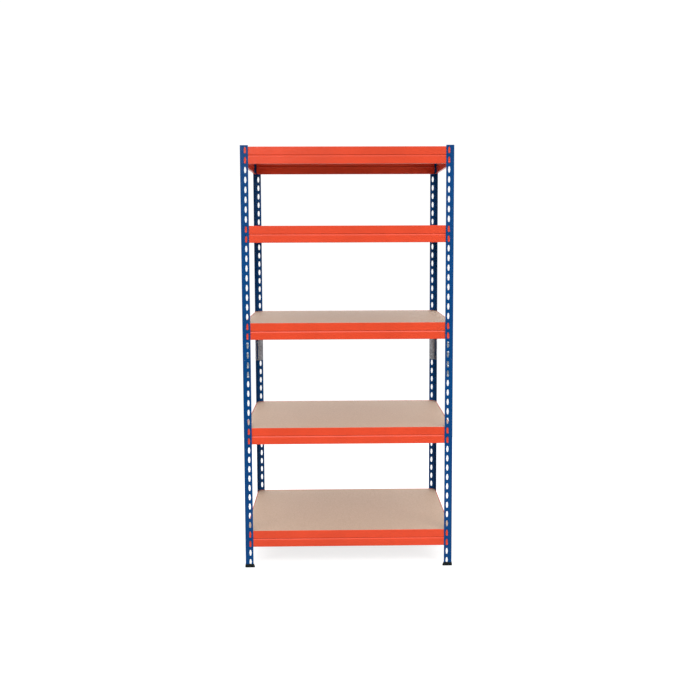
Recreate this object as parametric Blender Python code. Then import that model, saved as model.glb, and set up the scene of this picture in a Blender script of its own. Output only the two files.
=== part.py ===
"""Boltless steel shelving: five chipboard decks on studded beams in a keyhole angle frame.

Metres, +Z up, the front faces -Y. The origin is the centre of the footprint on the floor.
Each corner post is an L angle in two halves, joined by a splice angle and standing in a plastic
foot. Every level has a front, a rear and two side beams. The studs at the ends of a beam hook
into the keyhole slots of the posts, and a loose deck lies on the ledges inside the beams.
"""

import math

import bmesh
import bpy
from mathutils import Matrix

# Whole unit
WIDTH = 0.892                   # over the outer faces of the posts, along X
DEPTH = 0.600                   # the same, along Y
GAP = 0.0003                    # left between two pieces that touch

# Posts
HALF_HEIGHT = 0.900             # from one post end to the joint at mid-height
SLOTS_PER_HALF = 22
PITCH = HALF_HEIGHT / SLOTS_PER_HALF
POST_LEG = 0.034
POST_SHEET = 0.0015
POST_BEND = 0.003               # outer radius of the fold
SLOT_FROM_CORNER = 0.0214
SLOT_HEIGHT = 0.0285
SLOT_WIDTH = 0.0135             # at the middle, where a stud head enters
SLOT_END_WIDTH = 0.0088         # at both ends, where a stud neck sits

# Studs riveted into the beams and splices
STUD_SIDES = 6
NECK_RADIUS = 0.0044
HEAD_RADIUS = 0.0056
HEAD_THICKNESS = 0.0018
STUD_ROOT = 0.0006              # how far a neck is buried in its sheet
STUD_SEAT = SLOT_HEIGHT / 2 - NECK_RADIUS - GAP     # neck below the slot's centre when hooked in

# Splices
SPLICE_LENGTH = 0.172
SPLICE_LEG = 0.031
SPLICE_SHEET = 0.0015
SPLICE_BEND = 0.006

# Beams
BEAM_SHEET = 0.0012
BEAM_FROM_CORNER = 0.014        # post corner to the beam's end
BEAM_BELOW_SLOT = 0.0157        # beam bottom to the centre of its lower slot
BEAM_ABOVE_SLOT = 0.0145        # centre of its upper slot to the beam top
BEAM_HEIGHT = BEAM_BELOW_SLOT + PITCH + BEAM_ABOVE_SLOT
GROOVE_DEPTH = 0.0025
GROOVE_HALF_HEIGHT = 0.0034
LEDGE_WIDTH = 0.018
LEDGE_FROM_END = 0.010          # ledges stop short so that those of two beams miss each other
RETURN_WIDTH = 0.011            # flange along the bottom of a beam

# Decks
DECK_THICKNESS = 0.010
DECK_CLEARANCE = 0.001          # to the beams on every side
DECK_BELOW_LIP = 0.0005         # deck top under the top edge of the beams
LIP_HEIGHT = DECK_THICKNESS + GAP + DECK_BELOW_LIP

# Feet
FOOT_FLOOR = 0.003              # floor to the bottom of the steel
FOOT_HEIGHT = 0.0145
FOOT_RIM = 0.0025               # height of the upright sides, which lean inwards above it
FOOT_MARGIN = 0.0022            # foot outside the post's outer faces, at the floor
FOOT_ARM_LENGTH = 0.0415        # of both arms of the L, at the floor
FOOT_ARM_WIDTH = 0.0097
FOOT_TOP_MARGIN = 0.0009        # the same three at the foot's top
FOOT_TOP_ARM_LENGTH = 0.0364
FOOT_TOP_ARM_WIDTH = 0.0050

# Upper of the two slots that each level hooks into, counted down from the post's top
LEVEL_SLOTS = {"level_5": 1, "level_4": 9, "level_3": 19, "level_2": 30, "level_1": 41}

# Corners of the footprint: the sign of X and Y, and the turn from the front left one
CORNERS = {
    "front_left": (-1, -1, 0),
    "front_right": (1, -1, 90),
    "rear_right": (1, 1, 180),
    "rear_left": (-1, 1, 270),
}

BEND_STEPS = 2
CUT_OVERRUN = 0.001


def clear_scene():
    for obj in list(bpy.data.objects):
        bpy.data.objects.remove(obj, do_unlink=True)


def make_material(name, colour, roughness, metallic):
    material = bpy.data.materials.new(name)
    material.use_nodes = True
    shader = material.node_tree.nodes["Principled BSDF"]
    shader.inputs["Base Color"].default_value = (*colour, 1.0)
    shader.inputs["Roughness"].default_value = roughness
    shader.inputs["Metallic"].default_value = metallic
    return material


def make_mesh(name, bm):
    bmesh.ops.recalc_face_normals(bm, faces=bm.faces)
    mesh = bpy.data.meshes.new(name)
    bm.to_mesh(mesh)
    bm.free()
    return mesh


def add_object(name, mesh, location=(0, 0, 0), turn=0):
    obj = bpy.data.objects.new(name, mesh)
    obj.location = location
    obj.rotation_euler = (0, 0, math.radians(turn))
    bpy.context.scene.collection.objects.link(obj)
    return obj


def combine(blank, tool, operation, name):
    """Applies one exact Boolean and returns the resulting mesh."""
    body = add_object(name + "_blank", blank)
    other = add_object(name + "_tool", tool)
    boolean = body.modifiers.new("combine", "BOOLEAN")
    boolean.operation = operation
    boolean.solver = "EXACT"
    boolean.object = other
    evaluated = body.evaluated_get(bpy.context.evaluated_depsgraph_get())
    mesh = bpy.data.meshes.new_from_object(evaluated)
    mesh.name = name
    bpy.data.objects.remove(body)
    bpy.data.objects.remove(other)
    return mesh


def extrude(bm, points, offset):
    """Closes the points into a face and extrudes it by the offset."""
    face = bm.faces.new([bm.verts.new(point) for point in points])
    made = bmesh.ops.extrude_face_region(bm, geom=[face])["geom"]
    moved = [item for item in made if isinstance(item, bmesh.types.BMVert)]
    bmesh.ops.translate(bm, verts=moved, vec=offset)


def arc(centre, radius, start, end, steps):
    angles = [math.radians(start + (end - start) * i / steps) for i in range(steps + 1)]
    return [(centre + radius * math.cos(a), centre + radius * math.sin(a)) for a in angles]


def angle_outline(leg, sheet, bend):
    """Section of a folded angle whose outer corner is at the origin, legs along +X and +Y."""
    inside = arc(bend, bend - sheet, 270, 180, BEND_STEPS)
    outside = arc(bend, bend, 180, 270, BEND_STEPS)
    return [(leg, 0), (leg, sheet)] + inside + [(sheet, leg), (0, leg)] + outside


def slot_outline():
    """Double-ended keyhole, wide at the middle and narrow at both ends."""
    end = SLOT_END_WIDTH / 2
    top = SLOT_HEIGHT / 2
    return [(-end, top), (end, top), (SLOT_WIDTH / 2, 0), (end, -top), (-end, -top), (-SLOT_WIDTH / 2, 0)]


def slot_cutters():
    """One prism for each slot of a post half, through both legs."""
    bm = bmesh.new()
    through = POST_SHEET + 2 * CUT_OVERRUN
    for row in range(SLOTS_PER_HALF):
        middle = (row + 0.5) * PITCH
        outline = [(SLOT_FROM_CORNER + u, middle + v) for u, v in slot_outline()]
        extrude(bm, [(u, -CUT_OVERRUN, v) for u, v in outline], (0, through, 0))
        extrude(bm, [(-CUT_OVERRUN, u, v) for u, v in outline], (through, 0, 0))
    return make_mesh("slot_cutters", bm)


def post_mesh():
    """Half of the front left post. Its z is 0 at its lower end."""
    bm = bmesh.new()
    outline = angle_outline(POST_LEG, POST_SHEET, POST_BEND)
    extrude(bm, [(x, y, 0) for x, y in outline], (0, 0, HALF_HEIGHT - GAP))
    return combine(make_mesh("post_blank", bm), slot_cutters(), "DIFFERENCE", "post_half")


def add_stud(bm, placement):
    """A neck and head along -Y from the origin of the placement, as one closed body."""
    head_start = GAP + POST_SHEET + GAP
    head_end = head_start + HEAD_THICKNESS
    rings = [
        (STUD_ROOT, NECK_RADIUS),
        (-head_start, NECK_RADIUS),
        (-head_start, HEAD_RADIUS),
        (-head_end, HEAD_RADIUS),
    ]
    circles = []
    for y, radius in rings:
        circle = []
        for i in range(STUD_SIDES):
            angle = math.tau * (i + 0.5) / STUD_SIDES
            point = placement @ Matrix.Translation((radius * math.cos(angle), y, radius * math.sin(angle)))
            circle.append(bm.verts.new(point.translation))
        circles.append(circle)
    for near, far in zip(circles, circles[1:]):
        for i in range(STUD_SIDES):
            j = (i + 1) % STUD_SIDES
            bm.faces.new((near[i], near[j], far[j], far[i]))
    bm.faces.new(circles[0])
    bm.faces.new(circles[-1])


def beam_blank(length):
    """Roll-formed beam along X, outer face at y 0, bottom at z 0, ledge and flange towards +Y."""
    hem = 2 * BEAM_SHEET
    middle = BEAM_HEIGHT / 2
    ledge = BEAM_HEIGHT - LIP_HEIGHT
    web = [
        (0, 0),
        (0, middle - GROOVE_HALF_HEIGHT),
        (GROOVE_DEPTH, middle),
        (0, middle + GROOVE_HALF_HEIGHT),
        (0, BEAM_HEIGHT),
        (hem, BEAM_HEIGHT),
        (hem, ledge),
        (hem, ledge - BEAM_SHEET),
        (BEAM_SHEET, ledge - BEAM_SHEET),
        (BEAM_SHEET, middle + GROOVE_HALF_HEIGHT),
        (BEAM_SHEET + GROOVE_DEPTH, middle),
        (BEAM_SHEET, middle - GROOVE_HALF_HEIGHT),
        (BEAM_SHEET, BEAM_SHEET),
        (BEAM_SHEET, 0),
    ]
    bm = bmesh.new()
    start = -length / 2 + LEDGE_FROM_END
    corner = {point: bm.verts.new((start, *point)) for point in web}
    for y, z in [(hem + LEDGE_WIDTH, ledge), (hem + LEDGE_WIDTH, ledge - BEAM_SHEET),
                 (RETURN_WIDTH, BEAM_SHEET), (RETURN_WIDTH, 0)]:
        corner[y, z] = bm.verts.new((start, y, z))
    ledge_section = [
        (hem, ledge),
        (hem + LEDGE_WIDTH, ledge),
        (hem + LEDGE_WIDTH, ledge - BEAM_SHEET),
        (hem, ledge - BEAM_SHEET),
    ]
    return_section = [
        (BEAM_SHEET, BEAM_SHEET),
        (RETURN_WIDTH, BEAM_SHEET),
        (RETURN_WIDTH, 0),
        (BEAM_SHEET, 0),
    ]
    web_face = bm.faces.new([corner[point] for point in web])
    flanges = [bm.faces.new([corner[point] for point in part]) for part in (ledge_section, return_section)]
    made = bmesh.ops.extrude_face_region(bm, geom=[web_face, *flanges])["geom"]
    moved = [item for item in made if isinstance(item, bmesh.types.BMVert)]
    bmesh.ops.translate(bm, verts=moved, vec=(length - 2 * LEDGE_FROM_END, 0, 0))
    far_web = max((item for item in made if isinstance(item, bmesh.types.BMFace)), key=lambda f: len(f.verts))
    for face, shift in ((web_face, -LEDGE_FROM_END), (far_web, LEDGE_FROM_END)):
        tab = bmesh.ops.extrude_face_region(bm, geom=[face])["geom"]
        bmesh.ops.translate(
            bm, verts=[item for item in tab if isinstance(item, bmesh.types.BMVert)], vec=(shift, 0, 0)
        )
        bmesh.ops.delete(bm, geom=[face], context="FACES_ONLY")
    return make_mesh("beam_blank", bm)


def beam_mesh(span, name):
    """Beam between two posts whose outer corners are a span apart."""
    bm = bmesh.new()
    stud = span / 2 - SLOT_FROM_CORNER
    for x in (-stud, stud):
        for slot in (BEAM_BELOW_SLOT, BEAM_BELOW_SLOT + PITCH):
            add_stud(bm, Matrix.Translation((x, 0, slot - STUD_SEAT)))
    return combine(beam_blank(span - 2 * BEAM_FROM_CORNER), make_mesh("studs", bm), "UNION", name)


def splice_mesh():
    """Splice inside the front left post. The post's outer corner and the joint are its origin."""
    inset = POST_SHEET + GAP
    outline = angle_outline(SPLICE_LEG, SPLICE_SHEET, SPLICE_BEND)
    blank = bmesh.new()
    extrude(blank, [(inset + x, inset + y, -SPLICE_LENGTH / 2) for x, y in outline], (0, 0, SPLICE_LENGTH))
    studs = bmesh.new()
    for sign in (-1, 1):
        for slot in (0.5, 1.5):
            z = sign * (slot * PITCH + STUD_SEAT)
            add_stud(studs, Matrix.Translation((SLOT_FROM_CORNER, inset, z)))
            turn = Matrix.Rotation(math.radians(-90), 4, "Z")
            add_stud(studs, Matrix.Translation((inset, SLOT_FROM_CORNER, z)) @ turn)
    return combine(make_mesh("splice_blank", blank), make_mesh("studs", studs), "UNION", "splice")


def foot_blank():
    """Flared L-shaped shoe under the front left post, whose outer corner is the origin."""
    floor = (FOOT_MARGIN, FOOT_ARM_LENGTH, FOOT_ARM_WIDTH)
    top = (FOOT_TOP_MARGIN, FOOT_TOP_ARM_LENGTH, FOOT_TOP_ARM_WIDTH)
    bm = bmesh.new()
    rings = []
    for z, (margin, length, width) in ((0, floor), (FOOT_RIM, floor), (FOOT_HEIGHT, top)):
        out, end, inside = -margin, length - margin, width - margin
        outline = [(out, out), (end, out), (end, inside), (inside, inside), (inside, end), (out, end)]
        rings.append([bm.verts.new((x, y, z)) for x, y in outline])
    for lower, upper in zip(rings, rings[1:]):
        for i in range(len(lower)):
            j = (i + 1) % len(lower)
            bm.faces.new((lower[i], lower[j], upper[j], upper[i]))
    bm.faces.new(rings[0])
    bm.faces.new(rings[-1])
    return make_mesh("foot_blank", bm)


def foot_mesh():
    """The shoe with the socket that the post stands in."""
    outline = angle_outline(POST_LEG + 2 * GAP, POST_SHEET + 2 * GAP, POST_BEND + GAP)
    bm = bmesh.new()
    extrude(bm, [(x - GAP, y - GAP, FOOT_FLOOR - GAP) for x, y in outline], (0, 0, FOOT_HEIGHT))
    return combine(foot_blank(), make_mesh("foot_socket", bm), "DIFFERENCE", "foot")


def deck_mesh():
    """Plain board, its underside at z 0."""
    edge = POST_SHEET + GAP + 2 * BEAM_SHEET + DECK_CLEARANCE
    bm = bmesh.new()
    bmesh.ops.create_cube(bm, size=1)
    bmesh.ops.scale(bm, vec=(WIDTH - 2 * edge, DEPTH - 2 * edge, DECK_THICKNESS), verts=bm.verts)
    bmesh.ops.translate(bm, vec=(0, 0, DECK_THICKNESS / 2), verts=bm.verts)
    return make_mesh("deck", bm)


def build_corners(post_paint, zinc, plastic):
    """Two post halves, a splice and a foot at each corner."""
    post = post_mesh()
    splice = splice_mesh()
    foot = foot_mesh()
    post.materials.append(post_paint)
    splice.materials.append(zinc)
    foot.materials.append(plastic)
    joint = FOOT_FLOOR + HALF_HEIGHT
    for corner, (side, face, turn) in CORNERS.items():
        x = side * WIDTH / 2
        y = face * DEPTH / 2
        add_object("post_lower_" + corner, post, (x, y, FOOT_FLOOR), turn)
        add_object("post_upper_" + corner, post, (x, y, joint), turn)
        add_object("splice_" + corner, splice, (x, y, joint), turn)
        add_object("foot_" + corner, foot, (x, y, 0), turn)


def build_levels(beam_paint, chipboard):
    """Four beams and a deck at each level."""
    long_beam = beam_mesh(WIDTH, "long_beam")
    side_beam = beam_mesh(DEPTH, "side_beam")
    deck = deck_mesh()
    long_beam.materials.append(beam_paint)
    side_beam.materials.append(beam_paint)
    deck.materials.append(chipboard)
    out_x = WIDTH / 2 - POST_SHEET - GAP
    out_y = DEPTH / 2 - POST_SHEET - GAP
    top = FOOT_FLOOR + 2 * HALF_HEIGHT
    for level, slot in LEVEL_SLOTS.items():
        z = top - (slot + 0.5) * PITCH - BEAM_BELOW_SLOT
        add_object("beam_front_" + level, long_beam, (0, -out_y, z), 0)
        add_object("beam_right_" + level, side_beam, (out_x, 0, z), 90)
        add_object("beam_rear_" + level, long_beam, (0, out_y, z), 180)
        add_object("beam_left_" + level, side_beam, (-out_x, 0, z), 270)
        add_object("deck_" + level, deck, (0, 0, z + BEAM_HEIGHT - LIP_HEIGHT + GAP))


def main():
    clear_scene()
    post_paint = make_material("blue_powder_coat", (0.005, 0.075, 0.27), 0.45, 0.0)
    beam_paint = make_material("orange_powder_coat", (0.80, 0.075, 0.025), 0.42, 0.0)
    zinc = make_material("galvanised_steel", (0.45, 0.45, 0.44), 0.45, 0.9)
    chipboard = make_material("chipboard", (0.55, 0.40, 0.28), 0.75, 0.0)
    plastic = make_material("black_plastic", (0.012, 0.014, 0.016), 0.55, 0.0)
    build_corners(post_paint, zinc, plastic)
    build_levels(beam_paint, chipboard)


main()
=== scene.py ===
"""Looks of the boltless steel shelving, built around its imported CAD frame.

Metres, +Z up, the front faces -Y. Posts, splices and beams are folded sheet with turned studs,
the feet are mouldings and the decks are boards. Each is made at the place its CAD node gives.
"""

import math

import bmesh
import bpy
from mathutils import Matrix, Vector, noise


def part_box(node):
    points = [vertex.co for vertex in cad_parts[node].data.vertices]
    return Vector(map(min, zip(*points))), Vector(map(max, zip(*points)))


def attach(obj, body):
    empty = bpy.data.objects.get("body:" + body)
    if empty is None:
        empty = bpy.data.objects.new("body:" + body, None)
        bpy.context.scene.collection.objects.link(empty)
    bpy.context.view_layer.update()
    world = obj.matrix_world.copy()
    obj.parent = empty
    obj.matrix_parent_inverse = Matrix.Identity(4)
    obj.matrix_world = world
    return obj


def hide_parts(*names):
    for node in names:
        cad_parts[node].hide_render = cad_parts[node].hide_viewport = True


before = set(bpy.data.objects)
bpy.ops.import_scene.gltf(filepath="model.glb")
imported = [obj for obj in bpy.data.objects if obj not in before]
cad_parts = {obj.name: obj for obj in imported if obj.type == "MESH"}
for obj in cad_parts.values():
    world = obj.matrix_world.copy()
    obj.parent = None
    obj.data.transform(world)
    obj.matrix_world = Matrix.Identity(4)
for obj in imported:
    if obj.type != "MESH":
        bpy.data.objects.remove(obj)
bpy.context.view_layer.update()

GAP = 0.0003                    # between two pieces that touch
CUT_CHAMFER = 0.00025           # softens every cut edge of the sheet
SAME_PLACE = 1e-7               # points closer than this are one
PLACE_DIGITS = 7                # and so are places of a flat pattern that agree to this many digits

# Posts
SLOTS_PER_HALF = 22
HALF_HEIGHT = 0.900
PITCH = HALF_HEIGHT / SLOTS_PER_HALF
POST_LEG = 0.034
POST_SHEET = 0.0015
POST_BEND = 0.003
SLOT_FROM_CORNER = 0.0214
SLOT_END_RADIUS = 0.0032
SLOT_END_HEIGHT = 0.0098        # slot's middle to the centre of its round ends
SLOT_MIDDLE_RADIUS = 0.0026
SLOT_HALF_WIDTH = 0.0048
SLOT_MIDDLE_STEPS = 3
SLOT_END_STEPS = 6
POST_BEND_STEPS = 6

# Studs
STUD_SEAT = 0.0098              # a hooked stud under the middle of its slot
STUD_STEPS = 24
NECK_RADIUS = 0.0029
HEAD_RADIUS = 0.0045
HEAD_THICKNESS = 0.0018
HEAD_START = POST_SHEET + 2 * GAP
HEAD_END = HEAD_START + HEAD_THICKNESS
HEAD_BEVEL = 0.0003             # round the head's underside
HEAD_SIDE = 0.0006              # from the head's underside to the start of its dome
DOME_STEPS = 6

# Inner ends of the studs: radius, and distance past the inner side of the sheet
RIVETED_TAIL = ((0, 0.0008), (0.0036, 0.0008), (0.0045, 0.0005), (0.0048, -0.0001), (NECK_RADIUS, -0.0001))
ROLLED_TAIL = ((0.0029, 0.0003), (0.0034, 0.0013), (0.0042, 0.0016), (0.0049, 0.0012), (0.0053, -0.0001),
               (NECK_RADIUS, -0.0001))
HOLLOW_END = ((0, 0.0014), (0.0021, 0.0013), (0.0026, 0.0006))   # radius, and height in the hollow

# Splices
SPLICE_LEG = 0.031
SPLICE_SHEET = 0.0015
SPLICE_BEND = 0.006
SPLICE_CORNER = 0.003           # radius of its corners, and height of the bend above and below its slit
SPLICE_SLIT_MARGIN = 0.0010     # the slit reaches this far into the flat legs
SPLICE_INSET = POST_SHEET + GAP
SPLICE_SLOTS = (0.5, 1.5)       # the slots that its studs hook into, in pitches from the joint
SPLICE_BEND_STEPS = 8
SPLICE_CORNER_STEPS = 4

# Beams
BEAM_SHEET = 0.0012
BEAM_FROM_CORNER = 0.014
BEAM_BELOW_SLOT = 0.0157
BEAM_INSET = POST_SHEET + GAP
BEAM_BEND = 0.0022
BEAM_SECTIONS = 12              # lengths that the ledge is divided into
HEM_RADIUS = BEAM_SHEET + 0.00002   # just over the sheet, so that the inner fold isn't a point
GROOVE_DEPTH = 0.0026
GROOVE_BELOW = 0.0051           # its lower slope is the wider one
GROOVE_ABOVE = 0.0024
GROOVE_LOWER_BEND = 0.0030
GROOVE_MIDDLE_BEND = 0.0009
GROOVE_UPPER_BEND = 0.0014
GROOVE_MARGIN = 0.0001          # the groove's painted shade starts this far below its middle
LIP_HEIGHT = 0.0108
LEDGE_WIDTH = 0.018
LEDGE_BEND = 0.0008
LEDGE_FROM_END = 0.010
RETURN_WIDTH = 0.011

# Feet: margin outside the post, length and width of the L's arms, at the floor and at the top
FOOT_AT_FLOOR = (0.0022, 0.0415, 0.0097)
FOOT_AT_TOP = (0.0009, 0.0364, 0.0050)
FOOT_FLOOR = 0.003
FOOT_HEIGHT = 0.0145
FOOT_RIM = 0.0025               # its sides are upright below this and lean inwards above it
FOOT_ROUNDING = 0.0004          # along its bottom and top edges
FOOT_CORNER = 0.0020            # at the post's corner; the other upright corners are sharper
FOOT_END_CORNER = 0.0009
FOOT_STEPS = 3
SOCKET_CORNER = 0.0002

# Boards
BOARD_SPACING = 0.006           # between the points along its sides
BOARD_BEVEL = 0.0004
BOARD_SIDE_INSET = 0.0002       # of its sides from the deck's box
BOARD_FACE_INSET = 0.0006       # of the outlines of its two faces
TORN_SCALE = 90
TORN_STRETCH = 3                # the torn sides change faster upwards
TORN_DEPTH = 0.00015
NICK_SCALE = 45
NICK_START = 0.25               # noise below this leaves no nick
NICK_FACE_DEPTH = 0.0012
NICK_BEVEL_DEPTH = 0.0006
NOISE_AWAY = 5                  # keeps the nicks' noise apart from the torn sides'

# Corners of the footprint: the side of X, the side of Y, and the turn from the front left one
CORNERS = {
    "front_left": (0, 0, 0),
    "front_right": (1, 0, 90),
    "rear_right": (1, 1, 180),
    "rear_left": (0, 1, 270),
}
LEVELS = ("level_1", "level_2", "level_3", "level_4", "level_5")

# Paints: colour, colour of scuffs and cut edges (wear, and on the edges a painted highlight), and how fine
# the scuffs are along each axis
BLUE_PAINT = (0.0008, 0.058, 0.212)
BLUE_WEAR_AND_HIGHLIGHT = (0.04, 0.14, 0.33, 1.0)
POST_SCUFFS = (700.0, 700.0, 22.0)
ORANGE_PAINT = (0.82, 0.074, 0.025)
ORANGE_WEAR_AND_HIGHLIGHT = (0.88, 0.26, 0.15, 1.0)
BEAM_SCUFFS = (20.0, 700.0, 700.0)
PAINT_ROUGHNESS = 0.33
BLUE_SPECULAR = 0.18
ORANGE_SPECULAR = 0.35
PIECE_SPREAD = (17.0, 29.0, 41.0)   # how far the pieces' patterns lie apart

# Camera
CAMERA_PLACE = (-0.0500, -3.8486, 1.4194)
CAMERA_ANGLES = (0.9508, 4.9392, -0.2060)   # yaw to the right, pitch down and roll, in degrees
CAMERA_LENS = 43.407
CAMERA_SENSOR = 36.0
CAMERA_SHIFT = -0.0564

# Studio
ROOM_FRONT = 0.10
ROOM_REAR = 1.12
ROOM_REAR_RISE = (0.15, 0.75)   # directions between which the light from behind comes up
ROOM_ABOVE = 0.94
ROOM_ABOVE_RISE = (0.15, 0.80)
ROOM_SEEN = 1.05
FLOOR_GLOW = 0.78               # added where the floor itself is seen, which keeps shadows faint
FLOOR_RADIUS = 2.2
FLOOR_SIDES = 96
FLOOR_TONES = ((0.38, 0.38, 0.38, 1.0), (0.40, 0.40, 0.40, 1.0))
WHITE = (1.0, 1.0, 1.0, 1.0)

# Softboxes: place, the point each is aimed at, width, height and watts
SOFTBOXES = {
    "left_key": ((-1.9, -2.1, 1.5), (0, 0, 0.5), 1.0, 1.3, 17),
    "right_key": ((1.9, -2.1, 1.5), (0, 0, 0.5), 1.0, 1.3, 23.5),
    "top_key": ((0, -6.2, 6.3), (0, 0, 0.6), 5.4, 2.7, 205),
    "glare_light": ((-0.8, -3.8, 2.35), (0, 0, 1.4), 0.5, 0.5, 7),
}

ARC_STEP = math.radians(11)
SMOOTH_ANGLE = math.radians(50)


# ---------------------------------------------------------------------------- mesh building

def shaded(mesh):
    """The mesh, shaded smooth, with sharp edges where faces meet at a wide angle."""
    mesh.shade_smooth()
    mesh.set_sharp_from_angle(angle=SMOOTH_ANGLE)
    return mesh


def finish_mesh(name, bm):
    mesh = bpy.data.meshes.new(name)
    bm.to_mesh(mesh)
    bm.free()
    return shaded(mesh)


def outline_edges(faces):
    """Edges, as pairs of points, that only one face has."""
    every = [pair for face in faces for pair in zip(face, face[1:] + face[:1])]
    known = set(every)
    return [(a, b) for a, b in every if (b, a) not in known]


def plate(points, inward, faces, thickness):
    """Solid sheet under outer faces that run anticlockwise as seen from outside.

    Every point has a unit vector into the sheet. Cut edges are chamfered on both sides, and their
    points carry 1 in the attribute "edge".
    """
    rim = outline_edges(faces)
    away = {}
    for a, b in rim:
        side = (points[b] - points[a]).cross(-inward[a] - inward[b]).normalized()
        away.setdefault(a, []).append(side)
        away.setdefault(b, []).append(side)
    bm = bmesh.new()
    edge = bm.verts.layers.float.new("edge")
    layers = []
    for i, (point, into) in enumerate(zip(points, inward)):
        depths = (0, CUT_CHAMFER, thickness - CUT_CHAMFER, thickness)
        if i not in away:
            layers.append([bm.verts.new(point), None, None, bm.verts.new(point + into * thickness)])
            continue
        first, second = away[i]
        mitre = (first + second) / (1 + first.dot(second)) * CUT_CHAMFER
        row = []
        for depth in depths:
            inset = mitre if depth in (0, thickness) else Vector()
            row.append(bm.verts.new(point + into * depth - inset))
        row[1][edge] = row[2][edge] = 1.0
        layers.append(row)
    for face in faces:
        bm.faces.new([layers[i][0] for i in face])
        bm.faces.new([layers[i][3] for i in reversed(face)])
    for a, b in rim:
        for outer in range(3):
            inner = outer + 1
            bm.faces.new((layers[b][outer], layers[a][outer], layers[a][inner], layers[b][inner]))
    return bm


class FlatPattern:
    """Faces of a folded sheet, given by their place across the section and along its length.

    The fold gives the point in space and the unit vector into the sheet for a place.
    """

    def __init__(self, fold):
        self.fold = fold
        self.index = {}
        self.places = []
        self.faces = []

    def add_face(self, corners):
        face = []
        for across, along in corners:
            key = (round(across, PLACE_DIGITS), round(along, PLACE_DIGITS))
            if key not in self.index:
                self.index[key] = len(self.places)
                self.places.append((across, along))
            face.append(self.index[key])
        self.faces.append(face)

    def add_strip(self, columns, rows):
        for left, right in zip(columns, columns[1:]):
            for low, high in zip(rows, rows[1:]):
                self.add_face([(left, low), (right, low), (right, high), (left, high)])

    def solid(self, thickness):
        folded = [self.fold(across, along) for across, along in self.places]
        return plate([p for p, _ in folded], [n for _, n in folded], self.faces, thickness)


def steps_between(first, last, count):
    """Both numbers and the evenly spaced ones between them."""
    return [first + (last - first) * i / count for i in range(count + 1)]


def arcs(path):
    """Stations at each inner corner of a path of (u, v, radius): points with the side they face.

    The facing side is on the path's left. A station is (point, unit vector away from that side).
    """
    groups = []
    for before, here, after in zip(path, path[1:], path[2:]):
        corner = Vector(here[:2])
        arriving = (corner - Vector(before[:2])).normalized()
        leaving = (Vector(after[:2]) - corner).normalized()
        turn = math.atan2(arriving.x * leaving.y - arriving.y * leaving.x, arriving.dot(leaving))
        radius = math.copysign(here[2], turn)
        start = corner - arriving * abs(radius * math.tan(turn / 2))
        left = Vector((-arriving.y, arriving.x))
        centre = start + left * radius
        count = max(2, math.ceil(abs(turn) / ARC_STEP))
        group = []
        for angle in steps_between(0, turn, count):
            facing = Matrix.Rotation(angle, 2) @ left
            group.append((centre - facing * radius, -facing))
        groups.append(group)
    return groups


def turned(bm, profile, placement):
    """Body turned about the placement's Y axis, from (radius, height towards -Y) points."""
    rings = []
    for radius, height in profile:
        if radius == 0:
            rings.append([bm.verts.new(placement @ Vector((0, -height, 0)))])
            continue
        ring = []
        for i in range(STUD_STEPS):
            angle = math.tau * i / STUD_STEPS
            point = Vector((radius * math.cos(angle), -height, radius * math.sin(angle)))
            ring.append(bm.verts.new(placement @ point))
        rings.append(ring)
    made = []
    for near, far in zip(rings, rings[1:]):
        for i in range(STUD_STEPS):
            j = (i + 1) % STUD_STEPS
            corners = [near[i % len(near)], near[j % len(near)], far[j % len(far)], far[i % len(far)]]
            made.append(bm.faces.new(list(dict.fromkeys(corners))))
    bmesh.ops.recalc_face_normals(bm, faces=made)


def stud_head():
    """Outer half of a stud: neck, underside and low dome of its head."""
    dome_start = HEAD_START + HEAD_SIDE
    dome_height = HEAD_END - HEAD_START - HEAD_SIDE
    dome = [
        (HEAD_RADIUS * math.cos(a), dome_start + dome_height * math.sin(a))
        for a in steps_between(0, math.pi / 2, DOME_STEPS)[:-1]
    ]
    under = [
        (NECK_RADIUS, HEAD_START),
        (HEAD_RADIUS - HEAD_BEVEL, HEAD_START),
        (HEAD_RADIUS, HEAD_START + HEAD_BEVEL),
    ]
    return under + dome + [(0, HEAD_END)]


def stud_tail(sheet, points):
    return [(radius, -sheet - past) for radius, past in points]


def riveted_stud(sheet):
    """Stud with a flat riveted tail on the inner side of its sheet."""
    return stud_tail(sheet, RIVETED_TAIL) + stud_head()


def hollow_stud(sheet):
    """Stud pressed hollow, with a cupped rolled tail on the inner side."""
    return [*HOLLOW_END, *stud_tail(sheet, ROLLED_TAIL), *stud_head()]


# ------------------------------------------------------------------------------- the shapes

def angle_fold(leg, bend, inset):
    """Fold of an angle whose outer corner is the inset away from the origin, legs along +X and +Y."""
    flat = leg - bend
    girth = bend * math.pi / 2

    def fold(across, along):
        if across <= flat:
            place, into = (0, leg - across), (1, 0)
        elif across >= flat + girth:
            place, into = (bend + across - flat - girth, 0), (0, 1)
        else:
            angle = (across - flat) / bend
            place = (bend * (1 - math.cos(angle)), bend * (1 - math.sin(angle)))
            into = (math.cos(angle), math.sin(angle))
        return Vector((inset + place[0], inset + place[1], along)), Vector((*into, 0))

    return fold


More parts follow.
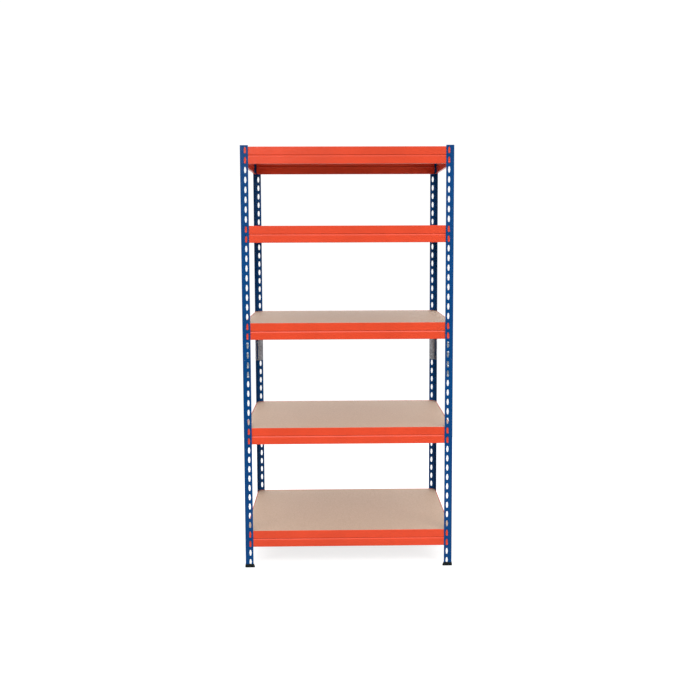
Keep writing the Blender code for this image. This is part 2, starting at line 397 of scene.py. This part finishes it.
def slot_outline():
    """Slot with round ends, widest at its middle, anticlockwise about its own centre."""
    side = SLOT_HALF_WIDTH - SLOT_MIDDLE_RADIUS
    span = math.hypot(side, SLOT_END_HEIGHT)
    lean = math.atan2(SLOT_END_HEIGHT, -side) - math.acos((SLOT_MIDDLE_RADIUS - SLOT_END_RADIUS) / span)
    bulge = [
        (side + SLOT_MIDDLE_RADIUS * math.cos(a), SLOT_MIDDLE_RADIUS * math.sin(a))
        for a in steps_between(0, lean, SLOT_MIDDLE_STEPS)
    ]
    end = [
        (SLOT_END_RADIUS * math.cos(a), SLOT_END_HEIGHT + SLOT_END_RADIUS * math.sin(a))
        for a in steps_between(lean, math.pi / 2, SLOT_END_STEPS)
    ]
    straight = [tuple(Vector(bulge[-1]).lerp(Vector(end[0]), share)) for share in (0.25, 0.5, 0.75)]
    quarter = bulge + straight + end
    half = quarter + [(-u, v) for u, v in reversed(quarter[:-1])]
    return half + [(u, -v) for u, v in reversed(half[1:-1])]


def cell_border(outline, left, right, height):
    """Point of a cell's border behind each point of the slot in it, as seen from the slot's middle."""
    border = []
    for u, v in outline:
        reach = [math.inf]
        if abs(u) > SAME_PLACE:
            reach.append((right if u > 0 else left) / u)
        if abs(v) > SAME_PLACE:
            reach.append(math.copysign(height, v) / v)
        border.append((u * min(reach), v * min(reach)))
    for corner in ((right, height), (left, height), (left, -height), (right, -height)):
        towards = Vector(corner).normalized()
        nearest = max(range(len(outline)), key=lambda i: Vector(outline[i]).normalized().dot(towards))
        border[nearest] = corner
    return border


def post_half_mesh():
    """Half of the front left post, its outer corner and lower end at the origin."""
    flat = POST_LEG - POST_BEND
    girth = POST_BEND * math.pi / 2
    width = 2 * flat + girth
    free = POST_LEG - SLOT_FROM_CORNER
    outline = slot_outline()
    top = HALF_HEIGHT - GAP
    fold = angle_fold(POST_LEG, POST_BEND, 0)
    pattern = FlatPattern(lambda across, along: fold(across, min(along, top)))
    for middle, left, right in ((free, -free, flat - free), (width - free, free - flat, free)):
        border = cell_border(outline, left, right, PITCH / 2)
        for row in range(SLOTS_PER_HALF):
            z = (row + 0.5) * PITCH
            for i, near in enumerate(outline):
                j = (i + 1) % len(outline)
                ring = (border[i], border[j], outline[j], near)
                pattern.add_face([(middle + u, z + v) for u, v in ring])
    rows = sorted(along for across, along in pattern.index if abs(across - flat) < SAME_PLACE)
    pattern.add_strip(steps_between(flat, flat + girth, POST_BEND_STEPS), rows)
    return finish_mesh("post_half", pattern.solid(POST_SHEET))


def splice_mesh(length):
    """Splice inside the front left post. The post's outer corner and the joint are its origin."""
    flat = SPLICE_LEG - SPLICE_BEND
    girth = SPLICE_BEND * math.pi / 2
    width = 2 * flat + girth
    end = length / 2
    pattern = FlatPattern(angle_fold(SPLICE_LEG, SPLICE_BEND, SPLICE_INSET))
    bend = [
        flat - SPLICE_SLIT_MARGIN,
        *steps_between(flat, flat + girth, SPLICE_BEND_STEPS),
        flat + girth + SPLICE_SLIT_MARGIN,
    ]
    stops = [-end, SPLICE_CORNER - end, end - SPLICE_CORNER, end]
    pattern.add_strip([SPLICE_CORNER, bend[0]], stops)
    pattern.add_strip([bend[-1], width - SPLICE_CORNER], stops)
    pattern.add_strip(bend, stops[:2])
    pattern.add_strip(bend, stops[2:])
    pattern.add_strip([0, SPLICE_CORNER], stops[1:-1])
    pattern.add_strip([width - SPLICE_CORNER, width], stops[1:-1])
    for across, side in ((SPLICE_CORNER, -1), (width - SPLICE_CORNER, 1)):
        for along, up in ((stops[1], -1), (stops[-2], 1)):
            fan = [(across, along)]
            for angle in steps_between(0, math.pi / 2, SPLICE_CORNER_STEPS):
                fan.append((across + side * SPLICE_CORNER * math.cos(angle),
                            along + up * SPLICE_CORNER * math.sin(angle)))
            pattern.add_face(fan if side * up > 0 else fan[::-1])
    bm = pattern.solid(SPLICE_SHEET)
    quarter_turn = Matrix.Rotation(math.radians(-90), 4, "Z")
    for sign in (-1, 1):
        for slot in SPLICE_SLOTS:
            z = sign * (slot * PITCH + STUD_SEAT)
            turned(bm, hollow_stud(SPLICE_SHEET), Matrix.Translation((SLOT_FROM_CORNER, SPLICE_INSET, z)))
            side = Matrix.Translation((SPLICE_INSET, SLOT_FROM_CORNER, z))
            turned(bm, hollow_stud(SPLICE_SHEET), side @ quarter_turn)
    return finish_mesh("splice", bm)


def beam_mesh(name, span, height):
    """Beam along X between two posts whose outer corners are a span apart, outer face at y 0.

    The points of its groove's upper slope carry an attribute of painted shade, up to 1 at the deepest.
    """
    middle = height / 2
    hem = 2 * HEM_RADIUS
    ledge = height - LIP_HEIGHT
    path = [
        (RETURN_WIDTH, 0, 0),
        (0, 0, BEAM_BEND),
        (0, middle - GROOVE_BELOW, GROOVE_LOWER_BEND),
        (GROOVE_DEPTH, middle, GROOVE_MIDDLE_BEND),
        (0, middle + GROOVE_ABOVE, GROOVE_UPPER_BEND),
        (0, height, HEM_RADIUS),
        (hem, height, HEM_RADIUS),
        (hem, ledge, LEDGE_BEND),
        (2 * BEAM_SHEET + LEDGE_WIDTH, ledge, 0),
    ]
    groups = arcs(path)
    first = (Vector(path[0][:2]), Vector((0, 1)))
    last = (Vector(path[-1][:2]), Vector((0, -1)))
    stations = [first]
    web_start = len(groups[0])
    for group in groups[:-1]:
        stations += [s for s in group if (s[0] - stations[-1][0]).length > SAME_PLACE]
    web_end = len(stations)
    stations += groups[-1] + [last]

    def fold(across, along):
        place, into = stations[int(across)]
        return Vector((along, *place)), Vector((0, *into))

    half = span / 2 - BEAM_FROM_CORNER
    inner = steps_between(LEDGE_FROM_END - half, half - LEDGE_FROM_END, BEAM_SECTIONS)
    pattern = FlatPattern(fold)
    everywhere = range(len(stations))
    web = range(web_start, web_end + 1)
    for columns, rows in ((web, [-half, inner[0]]), (everywhere, inner), (web, [inner[-1], half])):
        for low, high in zip(columns, columns[1:]):
            for near, far in zip(rows, rows[1:]):
                pattern.add_face([(low, near), (low, far), (high, far), (high, near)])
    bm = pattern.solid(BEAM_SHEET)
    # painted shade: the groove's upper slope is marked for darkening, most at its deepest
    painted_crease_shade = bm.verts.layers.float.new("painted_crease_shade")
    for vertex in bm.verts:
        if 0 < vertex.co.z - middle + GROOVE_MARGIN < GROOVE_ABOVE:
            vertex[painted_crease_shade] = min(1.0, vertex.co.y / GROOVE_DEPTH)
    stud = span / 2 - SLOT_FROM_CORNER
    for x in (-stud, stud):
        for slot in (BEAM_BELOW_SLOT, BEAM_BELOW_SLOT + PITCH):
            turned(bm, riveted_stud(BEAM_SHEET), Matrix.Translation((x, 0, slot - STUD_SEAT)))
    return finish_mesh(name, bm)


def closed_outline(path):
    """Points of a closed outline of (u, v, radius) corners."""
    return [point for group in arcs([path[-1], *path, path[0]]) for point, _ in group]


def join_rings(bm, rings):
    """Faces between each ring of vertices and the next one."""
    for lower, upper in zip(rings, rings[1:]):
        for i in range(len(lower)):
            j = (i + 1) % len(lower)
            bm.faces.new((lower[i], lower[j], upper[j], upper[i]))


def loft(bm, outlines):
    """Closed body through outlines of equally many points, the first and last one filled."""
    rings = [[bm.verts.new(point) for point in outline] for outline in outlines]
    join_rings(bm, rings)
    bm.faces.new(rings[0])
    bm.faces.new(rings[-1])
    bmesh.ops.recalc_face_normals(bm, faces=bm.faces)


def foot_outline(share, inset):
    """Outline of the L-shaped shoe at a share of the way from floor to top, drawn in by an inset."""
    margin, length, width = (low + (high - low) * share for low, high in zip(FOOT_AT_FLOOR, FOOT_AT_TOP))
    out = inset - margin
    end = length - margin - inset
    inside = width - margin - inset
    corners = [(end, out), (end, inside), (inside, inside), (inside, end), (out, end)]
    return closed_outline([(out, out, FOOT_CORNER), *((u, v, FOOT_END_CORNER) for u, v in corners)])


def foot_mesh():
    """Moulded shoe of the front left post, whose outer corner is the origin, with its socket."""
    bottom = []
    top = []
    for angle in steps_between(0, math.pi / 2, FOOT_STEPS):
        near = FOOT_ROUNDING * (1 - math.cos(angle))
        far = FOOT_ROUNDING * (1 - math.sin(angle))
        bottom.append((near, far))
        top.append((FOOT_HEIGHT - far, near))
    lofted = []
    for z, inset in [*bottom, (FOOT_RIM, 0), *top]:
        share = max(0, (z - FOOT_RIM) / (FOOT_HEIGHT - FOOT_RIM))
        lofted.append([(u, v, z) for u, v in foot_outline(share, inset)])
    shoe = bmesh.new()
    loft(shoe, lofted)
    leg = POST_LEG + GAP
    sheet = POST_SHEET + GAP
    outline = closed_outline([
        (-GAP, leg, SOCKET_CORNER),
        (-GAP, -GAP, POST_BEND + GAP),
        (leg, -GAP, SOCKET_CORNER),
        (leg, sheet, SOCKET_CORNER),
        (sheet, sheet, POST_BEND - POST_SHEET),
        (sheet, leg, SOCKET_CORNER),
    ])
    socket = bmesh.new()
    loft(socket, [[(u, v, z) for u, v in outline] for z in (FOOT_FLOOR - GAP, 2 * FOOT_HEIGHT)])
    return subtract(finish_mesh("foot_blank", shoe), finish_mesh("foot_socket", socket), "foot")


def subtract(blank, tool, name):
    """Exact Boolean difference of two meshes."""
    body = bpy.data.objects.new(name + "_blank", blank)
    cutter = bpy.data.objects.new(name + "_tool", tool)
    for part in (body, cutter):
        bpy.context.scene.collection.objects.link(part)
    cut = body.modifiers.new("cut", "BOOLEAN")
    cut.operation = "DIFFERENCE"
    cut.solver = "EXACT"
    cut.object = cutter
    evaluated = body.evaluated_get(bpy.context.evaluated_depsgraph_get())
    mesh = bpy.data.meshes.new_from_object(evaluated)
    mesh.name = name
    for part in (body, cutter):
        bpy.data.objects.remove(part)
    return shaded(mesh)


def board_mesh(width, depth, thickness):
    """Sawn board with its underside at z 0, rough on its sides and nicked along its edges.

    The points of its sawn sides carry 1 in the attribute "edge".
    """
    border = []
    corners = [Vector((x * width / 2, y * depth / 2)) for x, y in ((-1, -1), (1, -1), (1, 1), (-1, 1))]
    for a, b in zip(corners, corners[1:] + corners[:1]):
        count = round((b - a).length / BOARD_SPACING)
        border += [a.lerp(b, i / count) for i in range(count)]
    bm = bmesh.new()
    edge = bm.verts.layers.float.new("edge")
    rings = []
    between = [share * thickness for share in (0.25, 0.5, 0.75)]
    heights = [0, BOARD_BEVEL, *between, thickness - BOARD_BEVEL, thickness]
    for z in heights:
        face = z in (0, thickness)
        bevel = z in (heights[1], heights[-2])
        ring = []
        for point in border:
            torn = noise.noise(Vector((point.x, point.y, z * TORN_STRETCH)) * TORN_SCALE)
            nick_noise = noise.noise(Vector((point.x, point.y, z + NOISE_AWAY)) * NICK_SCALE)
            nick = max(0.0, nick_noise - NICK_START)
            inset = BOARD_SIDE_INSET + TORN_DEPTH * torn
            if face:
                inset = BOARD_FACE_INSET + NICK_FACE_DEPTH * nick
            elif bevel:
                inset = BOARD_SIDE_INSET + NICK_BEVEL_DEPTH * nick
            x = max(inset - width / 2, min(width / 2 - inset, point.x))
            y = max(inset - depth / 2, min(depth / 2 - inset, point.y))
            vertex = bm.verts.new((x, y, z))
            vertex[edge] = 0.0 if face else 1.0
            ring.append(vertex)
        rings.append(ring)
    join_rings(bm, rings)
    bm.faces.new(rings[0][::-1])
    bm.faces.new(rings[-1])
    return finish_mesh("board", bm)


# ------------------------------------------------------------------------------ the materials

def node(tree, kind, inputs, output=0, **settings):
    """Adds a shader node, fills its sockets with values or other sockets, and returns one output."""
    made = tree.nodes.new("ShaderNode" + kind)
    for key, value in settings.items():
        setattr(made, key, value)
    for key, value in inputs.items():
        if isinstance(value, bpy.types.NodeSocket):
            tree.links.new(value, made.inputs[key])
        else:
            made.inputs[key].default_value = value
    return None if output is None else made.outputs[output]


def new_material(name):
    """A material, its node tree and its shader."""
    material = bpy.data.materials.new(name)
    material.use_nodes = True
    return material, material.node_tree, material.node_tree.nodes["Principled BSDF"]


def attribute(tree, name):
    """Number that the mesh carries at its points."""
    return node(tree, "Attribute", {}, "Fac", attribute_name=name)


def warped_place(tree, place, scale, detail, reach):
    """The place pushed about by noise, so that cells drawn on it have uneven sides."""
    push = node(tree, "TexNoise", {"Vector": place, "Scale": scale, "Detail": detail}, "Color")
    return node(tree, "VectorMath", {0: push, 1: reach, 2: place}, operation="MULTIPLY_ADD")


def surface_place(tree):
    """Object coordinates, moved by a random amount for each piece."""
    place = node(tree, "TexCoord", {}, "Object")
    piece = node(tree, "ObjectInfo", {}, "Random")
    return node(tree, "VectorMath", {0: piece, 1: PIECE_SPREAD, 2: place}, operation="MULTIPLY_ADD")


def stretched(tree, place, factors):
    """The place with its pattern repeated faster along each axis by a factor."""
    return node(tree, "VectorMath", {0: place, 1: factors}, operation="MULTIPLY")


def cloud(tree, place, scale, detail=3.0, roughness=0.55):
    """Soft noise about 0.5."""
    inputs = {"Vector": place, "Scale": scale, "Detail": detail, "Roughness": roughness}
    return node(tree, "TexNoise", inputs, "Fac")


def cells(tree, place, scale):
    """A random colour for each cell of a crystal-like pattern."""
    return node(tree, "TexVoronoi", {"Vector": place, "Scale": scale}, "Color")


def remap(tree, value, low, high, to_low=0.0, to_high=1.0):
    """The value with low to high stretched to the other two, and held at them beyond."""
    inputs = {"Value": value, "From Min": low, "From Max": high, "To Min": to_low, "To Max": to_high}
    return node(tree, "MapRange", inputs)


def times(tree, first, second):
    return node(tree, "Math", {0: first, 1: second}, operation="MULTIPLY")


def plus(tree, first, second):
    return node(tree, "Math", {0: first, 1: second}, operation="ADD")


def blend_colour(tree, factor, first, second):
    """Mix of two colours, which are the Mix node's sockets 6 and 7, with the result at its output 2."""
    return node(tree, "Mix", {0: factor, 6: first, 7: second}, 2, data_type="RGBA")


def bump(tree, height, distance, strength=1.0, below=None):
    inputs = {"Height": height, "Distance": distance, "Strength": strength}
    if below is not None:
        inputs["Normal"] = below
    return node(tree, "Bump", inputs)


def connect(tree, shader, **sockets):
    """Links outputs to the shader's sockets, which are named in lower case with underscores."""
    for name, value in sockets.items():
        tree.links.new(value, shader.inputs[name.replace("_", " ").title()])


def tint(colour, factor):
    """Opaque colour with its three channels scaled."""
    return (*(channel * factor for channel in colour), 1.0)


def powder_coat(name, colour, wear_and_highlight, scuff_stretch, specular):
    """Baked powder coat: orange peel, slow change of tone, thin on cut edges and lightened there by a
    painted highlight, scuffed, with painted shade in the groove.
    """
    material, tree, shader = new_material(name)
    place = surface_place(tree)
    tone = cloud(tree, place, scale=6.0)
    mottle = cloud(tree, place, scale=140.0, detail=4.0)
    paint = blend_colour(tree, remap(tree, tone, 0.3, 0.7), tint(colour, 0.93), tint(colour, 1.07))
    paint = blend_colour(tree, remap(tree, mottle, 0.45, 0.8, 0.0, 0.25), paint, tint(colour, 0.80))
    scuffs = cloud(tree, stretched(tree, place, scuff_stretch), scale=1.0, detail=5.0, roughness=0.6)
    patches = remap(tree, cloud(tree, place, scale=14.0), 0.55, 0.7)
    scuffed = times(tree, remap(tree, scuffs, 0.66, 0.74), patches)
    paint = blend_colour(tree, times(tree, scuffed, 0.35), paint, wear_and_highlight)
    # cut edges: chipped thin paint, lightened partly as wear and partly as a painted highlight
    chips = remap(tree, cloud(tree, place, scale=260.0), 0.48, 0.62, 0.1, 0.75)
    paint = blend_colour(tree, times(tree, attribute(tree, "edge"), chips), paint, wear_and_highlight)
    # painted shade: the groove's upper slope darkened towards a quarter of the paint colour
    paint = blend_colour(tree, times(tree, attribute(tree, "painted_crease_shade"), 0.55), paint, tint(colour, 0.25))
    dull = remap(tree, mottle, 0.3, 0.7, PAINT_ROUGHNESS - 0.04, PAINT_ROUGHNESS + 0.04)
    dull = plus(tree, dull, times(tree, scuffed, 0.12))
    peel = cloud(tree, place, scale=620.0, detail=1.5)
    peel = bump(tree, peel, distance=0.0001, strength=0.5)
    waves = cloud(tree, place, scale=11.0, detail=1.0)
    waves = bump(tree, waves, distance=0.0012, strength=0.35, below=peel)
    connect(tree, shader, base_color=paint, roughness=dull, normal=waves)
    shader.inputs["Specular IOR Level"].default_value = specular
    return material


def galvanised(name):
    """Zinc-coated steel with soft spangle and rolling marks."""
    material, tree, shader = new_material(name)
    place = surface_place(tree)
    light = (0.66, 0.69, 0.73, 1.0)
    grey = (0.49, 0.52, 0.56, 1.0)
    dark = (0.31, 0.32, 0.33, 1.0)
    bare = (0.62, 0.62, 0.60, 1.0)
    warped = warped_place(tree, place, scale=160.0, detail=2.0, reach=(0.004, 0.004, 0.004))
    spangle = node(tree, "SeparateColor", {0: cells(tree, warped, scale=170.0)})
    fine = cloud(tree, place, scale=420.0, detail=4.0)
    rolled = cloud(tree, stretched(tree, place, (500.0, 500.0, 25.0)), scale=1.0, detail=4.0)
    zinc = blend_colour(tree, spangle, grey, light)
    zinc = blend_colour(tree, remap(tree, fine, 0.5, 0.75, 0.0, 0.35), zinc, dark)
    zinc = blend_colour(tree, times(tree, attribute(tree, "edge"), 0.4), zinc, bare)
    dull = remap(tree, spangle, 0.0, 1.0, 0.28, 0.40)
    dull = plus(tree, dull, remap(tree, rolled, 0.3, 0.7, -0.04, 0.06))
    relief = bump(tree, rolled, distance=0.00005, strength=0.4)
    relief = bump(tree, fine, distance=0.00006, strength=0.5, below=relief)
    connect(tree, shader, base_color=zinc, roughness=dull, normal=relief)
    shader.inputs["Metallic"].default_value = 0.7
    return material


def chipboard(name):
    """Pressed wood chips: fine and sanded on the faces, coarse and torn on the sawn sides."""
    material, tree, shader = new_material(name)
    place = surface_place(tree)
    pale = (0.700, 0.545, 0.420, 1.0)
    light = (0.560, 0.403, 0.300, 1.0)
    tan = (0.485, 0.341, 0.246, 1.0)
    brown = (0.335, 0.205, 0.125, 1.0)
    sawn_light = (0.56, 0.40, 0.27, 1.0)
    sawn_dark = (0.30, 0.19, 0.115, 1.0)
    torn = (0.42, 0.29, 0.19, 1.0)
    sway = warped_place(tree, place, scale=90.0, detail=3.0, reach=(0.008, 0.008, 0.003))
    coarse = cells(tree, stretched(tree, sway, (1.0, 2.4, 3.0)), scale=210.0)
    small = cells(tree, stretched(tree, sway, (2.2, 0.9, 3.0)), scale=330.0)
    blocks = cells(tree, stretched(tree, sway, (1.0, 1.0, 3.4)), scale=190.0)
    chips_one = node(tree, "SeparateColor", {0: coarse})
    chips_two = node(tree, "SeparateColor", {0: small}, 1)
    dust = cloud(tree, place, scale=900.0, detail=4.0, roughness=0.7)
    tone = cloud(tree, place, scale=3.5, detail=4.0)
    wood = blend_colour(tree, remap(tree, chips_one, 0.0, 1.0), tan, light)
    wood = blend_colour(tree, remap(tree, chips_two, 0.86, 0.94, 0.0, 0.55), wood, pale)
    wood = blend_colour(tree, remap(tree, chips_two, 0.10, 0.04, 0.0, 0.60), wood, brown)
    wood = blend_colour(tree, remap(tree, dust, 0.45, 0.75, 0.0, 0.30), wood, tint(brown[:3], 1.3))
    wood = blend_colour(tree, remap(tree, tone, 0.35, 0.68, 0.0, 0.22), wood, tan)
    facing = node(tree, "SeparateXYZ", {0: node(tree, "NewGeometry", {}, "Normal")}, 2)
    upright = remap(tree, node(tree, "Math", {0: facing}, operation="ABSOLUTE"), 0.75, 0.35)
    core = node(tree, "SeparateColor", {0: blocks})
    wood = blend_colour(tree, upright, wood, blend_colour(tree, core, sawn_dark, sawn_light))
    wood = blend_colour(tree, times(tree, attribute(tree, "edge"), 0.25), wood, torn)
    height = plus(tree, times(tree, core, times(tree, upright, 4.0)), times(tree, chips_one, 0.25))
    relief = bump(tree, dust, distance=0.00012, strength=0.5)
    relief = bump(tree, height, distance=0.00012, strength=0.8, below=relief)
    dull = remap(tree, chips_two, 0.0, 1.0, 0.50, 0.66)
    connect(tree, shader, base_color=wood, roughness=dull, normal=relief)
    shader.inputs["Specular IOR Level"].default_value = 0.45
    return material


def moulded_plastic(name):
    """Black moulded plastic with a fine texture, scuffed grey where it is handled."""
    material, tree, shader = new_material(name)
    place = surface_place(tree)
    grain = cloud(tree, place, scale=1100.0, detail=3.0)
    scuff = remap(tree, cloud(tree, place, scale=120.0, detail=5.0, roughness=0.65), 0.60, 0.74)
    black = (0.0050, 0.0080, 0.0085, 1.0)
    soft_black = (0.0095, 0.0140, 0.0145, 1.0)
    grey = (0.040, 0.046, 0.048, 1.0)
    plastic = blend_colour(tree, remap(tree, cloud(tree, place, scale=30.0), 0.3, 0.7), black, soft_black)
    plastic = blend_colour(tree, times(tree, scuff, 0.4), plastic, grey)
    dull = remap(tree, grain, 0.3, 0.7, 0.46, 0.60)
    relief = bump(tree, grain, distance=0.0001, strength=0.4)
    connect(tree, shader, base_color=plastic, roughness=dull, normal=relief)
    shader.inputs["Specular IOR Level"].default_value = 0.2
    return material


def studio_floor(name):
    """Pale matt floor with a barely visible change of tone, lighter where the camera sees it."""
    material, tree, shader = new_material(name)
    place = node(tree, "TexCoord", {}, "Object")
    shade = remap(tree, cloud(tree, place, scale=1.4, detail=3.0), 0.3, 0.7)
    pale = blend_colour(tree, shade, *FLOOR_TONES)
    fine = cloud(tree, place, scale=300.0, detail=3.0)
    dull = remap(tree, fine, 0.3, 0.7, 0.80, 0.92)
    relief = bump(tree, fine, distance=0.0001, strength=0.2)
    glow = times(tree, node(tree, "LightPath", {}, "Is Camera Ray"), FLOOR_GLOW)
    connect(tree, shader, base_color=pale, roughness=dull, normal=relief, emission_strength=glow)
    shader.inputs["Emission Color"].default_value = WHITE
    return material


# --------------------------------------------------------------------------- placing the pieces

def place_piece(name, mesh, material, location, turn, body, node_name):
    """Puts a mesh at its place, turned by degrees about Z, on a body and instead of a CAD node."""
    piece = bpy.data.objects.new(name, mesh)
    if not mesh.materials:
        mesh.materials.append(material)
    piece.location = location
    piece.rotation_euler = (0, 0, math.radians(turn))
    bpy.context.scene.collection.objects.link(piece)
    weighted = piece.modifiers.new("even_shading", "WEIGHTED_NORMAL")
    weighted.keep_sharp = True
    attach(piece, body)
    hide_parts(node_name)


def outer_corner(node_name, side_x, side_y):
    """Outer corner of a post at its lower end."""
    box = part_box(node_name)
    return Vector((box[side_x].x, box[side_y].y, box[0].z))


def build_corners():
    blue = powder_coat("blue_powder_coat", BLUE_PAINT, BLUE_WEAR_AND_HIGHLIGHT, POST_SCUFFS, BLUE_SPECULAR)
    zinc = galvanised("galvanised_steel")
    black = moulded_plastic("black_moulding")
    post = post_half_mesh()
    low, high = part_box("splice_front_left")
    splice = splice_mesh(high.z - low.z)
    foot = foot_mesh()
    for corner, (side_x, side_y, turn) in CORNERS.items():
        lower = outer_corner("post_lower_" + corner, side_x, side_y)
        upper = outer_corner("post_upper_" + corner, side_x, side_y)
        foot_place = Vector((lower.x, lower.y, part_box("foot_" + corner)[0].z))
        place_piece("painted_post_lower_" + corner, post, blue, lower, turn,
                    "frame", "post_lower_" + corner)
        place_piece("painted_post_upper_" + corner, post, blue, upper, turn,
                    "frame", "post_upper_" + corner)
        place_piece("zinc_splice_" + corner, splice, zinc, upper, turn, "frame", "splice_" + corner)
        place_piece("moulded_foot_" + corner, foot, black, foot_place, turn,
                    "frame", "foot_" + corner)


def build_levels():
    orange = powder_coat("orange_powder_coat", ORANGE_PAINT, ORANGE_WEAR_AND_HIGHLIGHT, BEAM_SCUFFS, ORANGE_SPECULAR)
    wood = chipboard("chipboard")
    near = outer_corner("post_lower_front_left", 0, 0)
    far = outer_corner("post_lower_rear_right", 1, 1)
    low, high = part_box("beam_front_level_1")
    height = high.z - low.z
    long_beam = beam_mesh("long_beam", far.x - near.x, height)
    side_beam = beam_mesh("side_beam", far.y - near.y, height)
    board_low, board_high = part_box("deck_level_1")
    board = board_mesh(*(board_high - board_low))
    middle = (near + far) / 2
    sides = {
        "front": (long_beam, middle.x, near.y + BEAM_INSET, 0),
        "right": (side_beam, far.x - BEAM_INSET, middle.y, 90),
        "rear": (long_beam, middle.x, far.y - BEAM_INSET, 180),
        "left": (side_beam, near.x + BEAM_INSET, middle.y, 270),
    }
    for number, level in enumerate(LEVELS, 1):
        for side, (mesh, x, y, turn) in sides.items():
            name = "beam_" + side + "_" + level
            place_piece("painted_" + name, mesh, orange, (x, y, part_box(name)[0].z), turn,
                        "frame", name)
        deck = "deck_" + level
        place = (middle.x, middle.y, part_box(deck)[0].z)
        place_piece("board_" + level, board, wood, place, 0, "deck_%d" % number, deck)


# ------------------------------------------------------------------------------------ the studio

def add_camera():
    """Camera in front, a little above the middle, with the framing finished by a small shift."""
    yaw, pitch, roll = (math.radians(angle) for angle in CAMERA_ANGLES)
    forward = Vector((math.sin(yaw) * math.cos(pitch), math.cos(yaw) * math.cos(pitch), -math.sin(pitch)))
    level_right = Vector((math.cos(yaw), -math.sin(yaw), 0))
    level_up = level_right.cross(forward)
    right = math.cos(roll) * level_right + math.sin(roll) * level_up
    up = -math.sin(roll) * level_right + math.cos(roll) * level_up
    data = bpy.data.cameras.new("camera")
    data.lens = CAMERA_LENS
    data.sensor_width = CAMERA_SENSOR
    data.shift_y = CAMERA_SHIFT
    camera = bpy.data.objects.new("camera", data)
    bpy.context.scene.collection.objects.link(camera)
    turn = Matrix((right, up, -forward)).transposed().to_4x4()
    camera.matrix_world = Matrix.Translation(CAMERA_PLACE) @ turn
    bpy.context.scene.camera = camera


def add_softbox(name, location, target, width, height, power):
    data = bpy.data.lights.new(name, "AREA")
    data.shape = "RECTANGLE"
    data.size = width
    data.size_y = height
    data.energy = power
    light = bpy.data.objects.new(name, data)
    bpy.context.scene.collection.objects.link(light)
    light.location = location
    light.rotation_euler = (Vector(target) - Vector(location)).to_track_quat("-Z", "Y").to_euler()


def studio_light(tree):
    """Strength of the room by direction: bright above and behind the object, dim in front of it."""
    direction = node(tree, "TexCoord", {}, "Generated")
    rear = remap(tree, node(tree, "SeparateXYZ", {0: direction}, 1), *ROOM_REAR_RISE, 0.0, ROOM_REAR)
    above = remap(tree, node(tree, "SeparateXYZ", {0: direction}, 2), *ROOM_ABOVE_RISE, 0.0, ROOM_ABOVE)
    return plus(tree, plus(tree, rear, above), ROOM_FRONT)


def add_world():
    """Soft room light, seen as plain white."""
    world = bpy.data.worlds.new("studio")
    world.use_nodes = True
    tree = world.node_tree
    tree.nodes.clear()
    light = node(tree, "Background", {"Color": WHITE, "Strength": studio_light(tree)})
    white = node(tree, "Background", {"Color": WHITE, "Strength": ROOM_SEEN})
    seen = node(tree, "LightPath", {}, "Is Camera Ray")
    mixed = node(tree, "MixShader", {0: seen, 1: light, 2: white})
    node(tree, "OutputWorld", {"Surface": mixed}, output=None)
    bpy.context.scene.world = world


def add_floor():
    """Pale floor under and round the object."""
    bm = bmesh.new()
    bmesh.ops.create_circle(bm, cap_ends=True, segments=FLOOR_SIDES, radius=FLOOR_RADIUS)
    mesh = bpy.data.meshes.new("floor")
    bm.to_mesh(mesh)
    bm.free()
    mesh.materials.append(studio_floor("pale_floor"))
    floor = bpy.data.objects.new("floor", mesh)
    bpy.context.scene.collection.objects.link(floor)


def add_studio():
    for name, settings in SOFTBOXES.items():
        add_softbox(name, *settings)
    add_world()
    add_floor()
    bpy.context.scene.view_settings.view_transform = "Standard"


build_corners()
build_levels()
add_camera()
add_studio()
